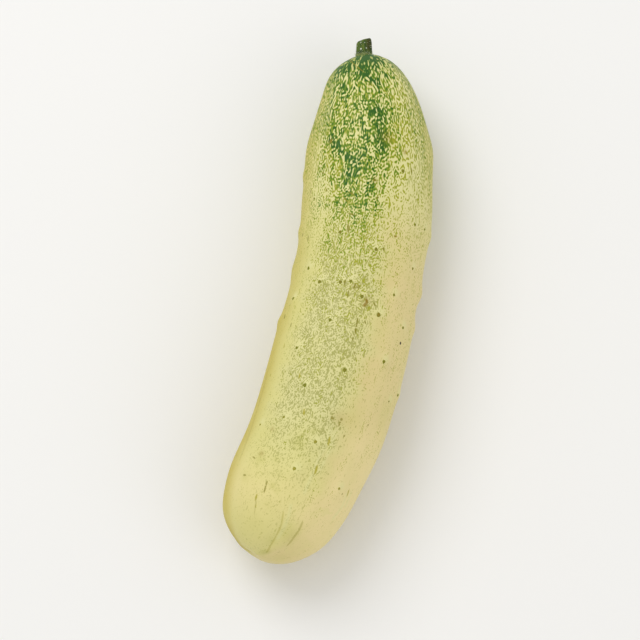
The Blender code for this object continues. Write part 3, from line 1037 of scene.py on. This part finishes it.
class CUCUMBER_OT_scars(bpy.types.Operator):
    """Model the little craters that the spines left on the warts"""

    bl_idname = "cucumber.scars"
    bl_label = "Spine scars"

    def execute(self, context):
        settings = context.scene.cucumber_fruit
        skin = Skin(settings)
        draw = random.Random(SEED + 1)
        scars = list(SPINE_SCARS)
        for place in hidden_places():
            scars.append((*place, draw.uniform(*HIDDEN_HALF), draw.uniform(0, 0.5)))
        deselect()
        sides, rings = CRATER_FACES
        bpy.ops.mesh.primitive_uv_sphere_add(segments=sides, ring_count=rings, radius=1)
        ball = context.object
        copies = [self.crater(twin(ball), skin, settings, scar, draw) for scar in scars]
        bpy.data.objects.remove(ball)
        piece = joined(copies)
        settle(piece, "spine_scars", scar_material(context.scene.cucumber_skin))
        return {"FINISHED"}

    def crater(self, piece, skin, settings, scar, draw):
        """Flatten a ball into one crater, with a raised rim and a dip, draped on the skin."""
        at, round_to, half, brown = scar
        x, y, z = read_points(piece.data).T
        out = np.hypot(x, y)
        angle = np.arctan2(y, x)
        ragged = 1 + 0.1 * np.sin(3 * angle + draw.uniform(0, math.tau)) + 0.07 * np.sin(5 * angle)
        rim = np.exp(-((out - CRATER_RIM[0]) / CRATER_RIM[1]) ** 2)
        tall = CRATER_HEIGHTS[0] * rim + CRATER_HEIGHTS[1] * np.cos(out * math.pi / 2)
        top = settings.scar_height * tall - CRATER_EDGE * out ** 4
        root = -CRATER_ROOT * np.sqrt(np.clip(1 - out * out, 0, 1)) - CRATER_EDGE
        lift = np.where(z >= 0, top, root)
        along = at * MM + y * half * CRATER_LONG * ragged * MM
        radius = skin.plain_radius(np.full(1, at * MM))[0]
        turn = math.radians(round_to) + x * half * ragged * MM / radius
        write_points(piece.data, skin.point(along, turn, lift))
        write_value(piece.data, "out", out)
        write_value(piece.data, "brown", brown)
        write_value(piece.data, "paler", 0.55 * zone("paler_scars", at * MM))
        return piece


def scar_material(colours):
    """Write the scars: olive craters with a darker rim and a paler, drier middle."""
    mat, nodes, shader = new_material("spine_scar", Roughness=0.6, IOR=1.4)
    place = nodes.add("ShaderNodeTexCoord").outputs["Object"]
    hair_and_glint_flecks = nodes.noise(place, SCALES["scar_flecks"], 2)
    out = nodes.value("out")
    base = nodes.coats(colours.scar, (("brown", colours.brown), ("paler", colours.border)))
    dark = nodes.mix(0.22, base, colours.green)
    colour = nodes.mix(nodes.ramp(out, 0.15, 0.6), base, dark)
    colour = nodes.mix(nodes.ramp(out, 0.8, 1.0), colour, colours.olive)
    colour = nodes.mix(nodes.ramp(hair_and_glint_flecks, 0.45, 0.7, 0.0, 0.3), colour, colours.leaf)
    nodes.finish(shader, colour, place, PORES["scar"])
    return mat


class CUCUMBER_OT_stalk(bpy.types.Operator):
    """Model the stub of the stalk: a ribbed rod that flares at its foot, with a dried, sunken cut"""

    bl_idname = "cucumber.stalk"
    bl_label = "Stalk"

    def execute(self, context):
        settings = context.scene.cucumber_stalk
        form = Stub(settings, Skin(context.scene.cucumber_fruit))
        deselect()
        bpy.ops.mesh.primitive_cylinder_add(vertices=STUB_SIDES, radius=1, depth=STUB_FOOT)
        stub = context.object
        bpy.ops.object.mode_set(mode="EDIT")
        pick_faces(stub, lambda face: face.normal.z > 0.9)
        last_height, last_share = 0.0, 1.0
        for height, share in STUB_LOOPS:
            step = (height - last_height) * settings.length
            bpy.ops.mesh.extrude_region_move(TRANSFORM_OT_translate={"value": (0, 0, step)})
            bpy.ops.transform.resize(value=(share / last_share, share / last_share, 1))
            last_height, last_share = height, share
        bpy.ops.object.mode_set(mode="OBJECT")
        smooth = stub.modifiers.new("smooth", "SUBSURF")
        smooth.levels = smooth.render_levels = 1
        bpy.ops.object.modifier_apply(modifier=smooth.name)
        x, y, z = read_points(stub.data).T
        turn, share, height = np.arctan2(y, x), np.hypot(x, y), z - STUB_FOOT / 2
        write_points(stub.data, form.point(turn, height, share))
        out = form.radius(turn, height) * share
        rows = np.stack((out * np.cos(turn), out * np.sin(turn), height), axis=-1)
        # Painted shade: the stub's right side, away from the key lamp, darker and browner from a little
        # above its foot.
        shade_and_dry = between(-0.1, 0.8, np.sin(turn)) * between(0.1, 0.4, height / settings.length)
        write_vector(stub.data, "stub_place", rows)
        write_value(stub.data, "cut", between(0.82, 0.7, share))
        write_value(stub.data, "shade_and_dry", shade_and_dry)
        write_value(stub.data, "down", np.exp(-np.maximum(height, 0) / DOWN_REACH))
        write_value(stub.data, "crest", 0.5 + 0.5 * np.cos(settings.ribs * turn))
        settle(stub, "stalk_stub", stub_material(settings))
        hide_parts("stem")
        return {"FINISHED"}


class CUCUMBER_OT_bristles(bpy.types.Operator):
    """Model the short bristles on the stub and the down round its foot"""

    bl_idname = "cucumber.bristles"
    bl_label = "Bristles"

    def execute(self, context):
        settings = context.scene.cucumber_stalk
        form = Stub(settings, Skin(context.scene.cucumber_fruit))
        draw = random.Random(SEED + 2)
        deselect()
        bpy.ops.mesh.primitive_cone_add(vertices=4, radius1=1, radius2=0.12, depth=1)
        cone = context.object
        places = [(math.radians(turn), *rest, STUMP_LENGTH, STUMP_ASTRAY) for turn, *rest in STUMPS]
        for count, kind in ((settings.hairs, BRISTLES), (settings.collar_hairs, DOWN)):
            shares, widths, lengths, astray = kind
            for _ in range(count):
                long = draw.uniform(*lengths)
                turn, share = draw.uniform(0, math.tau), draw.uniform(*shares)
                places.append((turn, share, draw.uniform(*widths), long, astray))
        copies = [self.bristle(twin(cone), form, place, draw) for place in places]
        bpy.data.objects.remove(cone)
        piece = joined(copies)
        settle(piece, "stalk_bristles", hair_material(settings))
        return {"FINISHED"}

    def bristle(self, piece, form, place, draw):
        """Stand one bristle on the stub, pointing away from it and a little astray."""
        turn, share, wide, long, astray = place
        height = share * form.settings.length
        foot = form.point(np.array((turn,)), np.array((height,)), lift=-BRISTLE_ROOT)[0]
        aim = form.outwards(turn) + astray * np.array([draw.uniform(-0.6, 0.6) for _ in range(3)])
        aim /= np.linalg.norm(aim)
        side = np.cross(aim, form.axis)
        side /= np.linalg.norm(side)
        over = np.cross(aim, side)
        x, y, z = read_points(piece.data).T
        points = foot + np.outer(x * wide, side) + np.outer(y * wide, over)
        write_points(piece.data, points + np.outer((z + 0.5) * long, aim))
        return piece


def stub_material(colours):
    """Write the stub's skin, dark green with furrows and worn ribs, its right side darker and browner
    with painted shade, and its cut.
    """
    mat, nodes, shader = new_material("stalk_skin", Roughness=0.5, IOR=1.4, Specular_IOR_Level=0.35)
    place = nodes.vector("stub_place")
    drawn = nodes.add("ShaderNodeMapping", {"Vector": place, "Scale": (1, 1, 0.3)}).outputs["Vector"]
    furrow = nodes.noise(drawn, SCALES["furrows"], 1, 0.55, 0.4)
    blotch = nodes.noise(place, SCALES["blotches"], 1, 0.6, 0.5)
    colour = nodes.coats(colours.skin, (("shade_and_dry", colours.shade_and_dry),))
    colour = nodes.mix(nodes.ramp(furrow, 0.5, 0.72, 0.0, 0.8), colour, colours.dark)
    colour = nodes.mix(nodes.ramp(blotch, 0.5, 0.66, 0.0, 0.6), colour, colours.dark)
    crest = nodes.math("MULTIPLY", nodes.value("crest"), nodes.ramp(furrow, 0.5, 0.3))
    colour = nodes.mix(nodes.math("MULTIPLY", crest, 0.8), colour, colours.light)
    # Pale flecks in the bristles' colour: partly the bases of tiny hairs, partly painted glints.
    hair_and_glint_fleck = nodes.noise(place, SCALES["hair_and_glint_flecks"], 1, 0.5)
    colour = nodes.mix(nodes.ramp(hair_and_glint_fleck, 0.68, 0.76, 0.0, 0.15), colour, colours.hair_and_glint)
    downy = nodes.math("ADD", nodes.value("down"), nodes.math("MULTIPLY", hair_and_glint_fleck, 0.5))
    colour = nodes.mix(nodes.ramp(downy, 0.5, 1.1), colour, colours.collar)
    ring = nodes.ramp(nodes.noise(place, SCALES["cut"], 3, 0.6), 0.35, 0.65)
    ring = nodes.mix(ring, colours.cut, colours.shade_and_dry)
    nodes.finish(shader, nodes.coats(colour, (("cut", ring),)), drawn, PORES["stub"])
    return mat


def hair_material(colours):
    """Write the bristles' pale horn, tinted here and there towards the collar's colour."""
    mat, nodes, shader = new_material("bristle", Roughness=0.35, IOR=1.5)
    place = nodes.add("ShaderNodeTexCoord").outputs["Object"]
    tint = nodes.ramp(nodes.noise(place, SCALES["bristles"], 1), 0.4, 0.65, 0.0, 0.6)
    colour = nodes.mix(tint, colours.hair_and_glint, colours.collar)
    nodes.tree.links.new(colour, shader.inputs["Base Color"])
    return mat


class CUCUMBER_OT_stage(bpy.types.Operator):
    """Set the camera, the soft lights and the plain floor"""

    bl_idname = "cucumber.stage"
    bl_label = "Stage"

    def execute(self, context):
        settings = context.scene.cucumber_stage
        deselect()
        bpy.ops.mesh.primitive_plane_add(size=FLOOR_SIZE)
        floor = context.object
        floor.name = "floor"
        mat, nodes, shader = new_material("floor", Roughness=0.7)
        shader.inputs["Base Color"].default_value = (*settings.floor, 1)
        floor.data.materials.append(mat)
        self.camera(context, settings)
        self.lights(context, settings)
        return {"FINISHED"}

    def camera(self, context, settings):
        """Aim a long lens at the fruit."""
        a, e = settings.azimuth, settings.elevation
        back = Vector((math.sin(a) * math.cos(e), -math.cos(a) * math.cos(e), math.sin(e)))
        turn = (-back).to_track_quat("-Z", "Y")
        right, up = turn @ Vector((1, 0, 0)), turn @ Vector((0, 1, 0))
        aim = (FRUIT_BOX[0] + FRUIT_BOX[1]) / 2
        aim += right * settings.aim_right * settings.pixel + up * settings.aim_up * settings.pixel
        data = bpy.data.cameras.new("camera")
        data.sensor_width = SENSOR
        data.lens = SENSOR * settings.distance / (PICTURE * settings.pixel)
        camera = bpy.data.objects.new("camera", data)
        camera.location = aim + back * settings.distance
        camera.rotation_mode = "QUATERNION"
        camera.rotation_quaternion = turn
        context.scene.collection.objects.link(camera)
        context.scene.camera = camera

    def lights(self, context, settings):
        """Light it softly from the upper left, with a weak fill from the right."""
        for name, place, size, power in LIGHTS:
            data = bpy.data.lights.new(name, "AREA")
            data.shape = "DISK"
            data.size = size
            data.energy = power
            lamp = bpy.data.objects.new(name, data)
            lamp.location = place
            lamp.rotation_mode = "QUATERNION"
            lamp.rotation_quaternion = (-Vector(place)).to_track_quat("-Z", "Y")
            context.scene.collection.objects.link(lamp)
        world = bpy.data.worlds.new("studio")
        world.use_nodes = True
        background = world.node_tree.nodes["Background"]
        background.inputs["Color"].default_value = (1, 1, 1, 1)
        background.inputs["Strength"].default_value = settings.sky
        context.scene.world = world
        context.scene.view_settings.view_transform = "Standard"


class CUCUMBER_PT_panel(bpy.types.Panel):
    """Lists the cucumber's operators"""

    bl_idname = "CUCUMBER_PT_panel"
    bl_label = "Cucumber"
    bl_space_type = "VIEW_3D"
    bl_region_type = "UI"
    bl_category = "Cucumber"

    def draw(self, context):
        for operator in OPERATORS:
            self.layout.operator(operator.bl_idname)


GROUPS = {
    "cucumber_fruit": CUCUMBER_PG_fruit,
    "cucumber_skin": CUCUMBER_PG_skin,
    "cucumber_stalk": CUCUMBER_PG_stalk,
    "cucumber_stage": CUCUMBER_PG_stage,
}
OPERATORS = (CUCUMBER_OT_fruit, CUCUMBER_OT_scars, CUCUMBER_OT_stalk, CUCUMBER_OT_bristles,
             CUCUMBER_OT_stage)


def register():
    """Register the classes and hang their settings on the scene."""
    for name, group in GROUPS.items():
        bpy.utils.register_class(group)
        setattr(bpy.types.Scene, name, PointerProperty(type=group))
    for made in (*OPERATORS, CUCUMBER_PT_panel):
        bpy.utils.register_class(made)


def unregister():
    """Take it all away again."""
    for made in reversed((*OPERATORS, CUCUMBER_PT_panel)):
        bpy.utils.unregister_class(made)
    for name, group in GROUPS.items():
        delattr(bpy.types.Scene, name)
        bpy.utils.unregister_class(group)


def main():
    """Make the cucumber and its stage."""
    register()
    bpy.ops.cucumber.fruit()
    bpy.ops.cucumber.scars()
    bpy.ops.cucumber.stalk()
    bpy.ops.cucumber.bristles()
    bpy.ops.cucumber.stage()


if __name__ == "__main__":
    main()
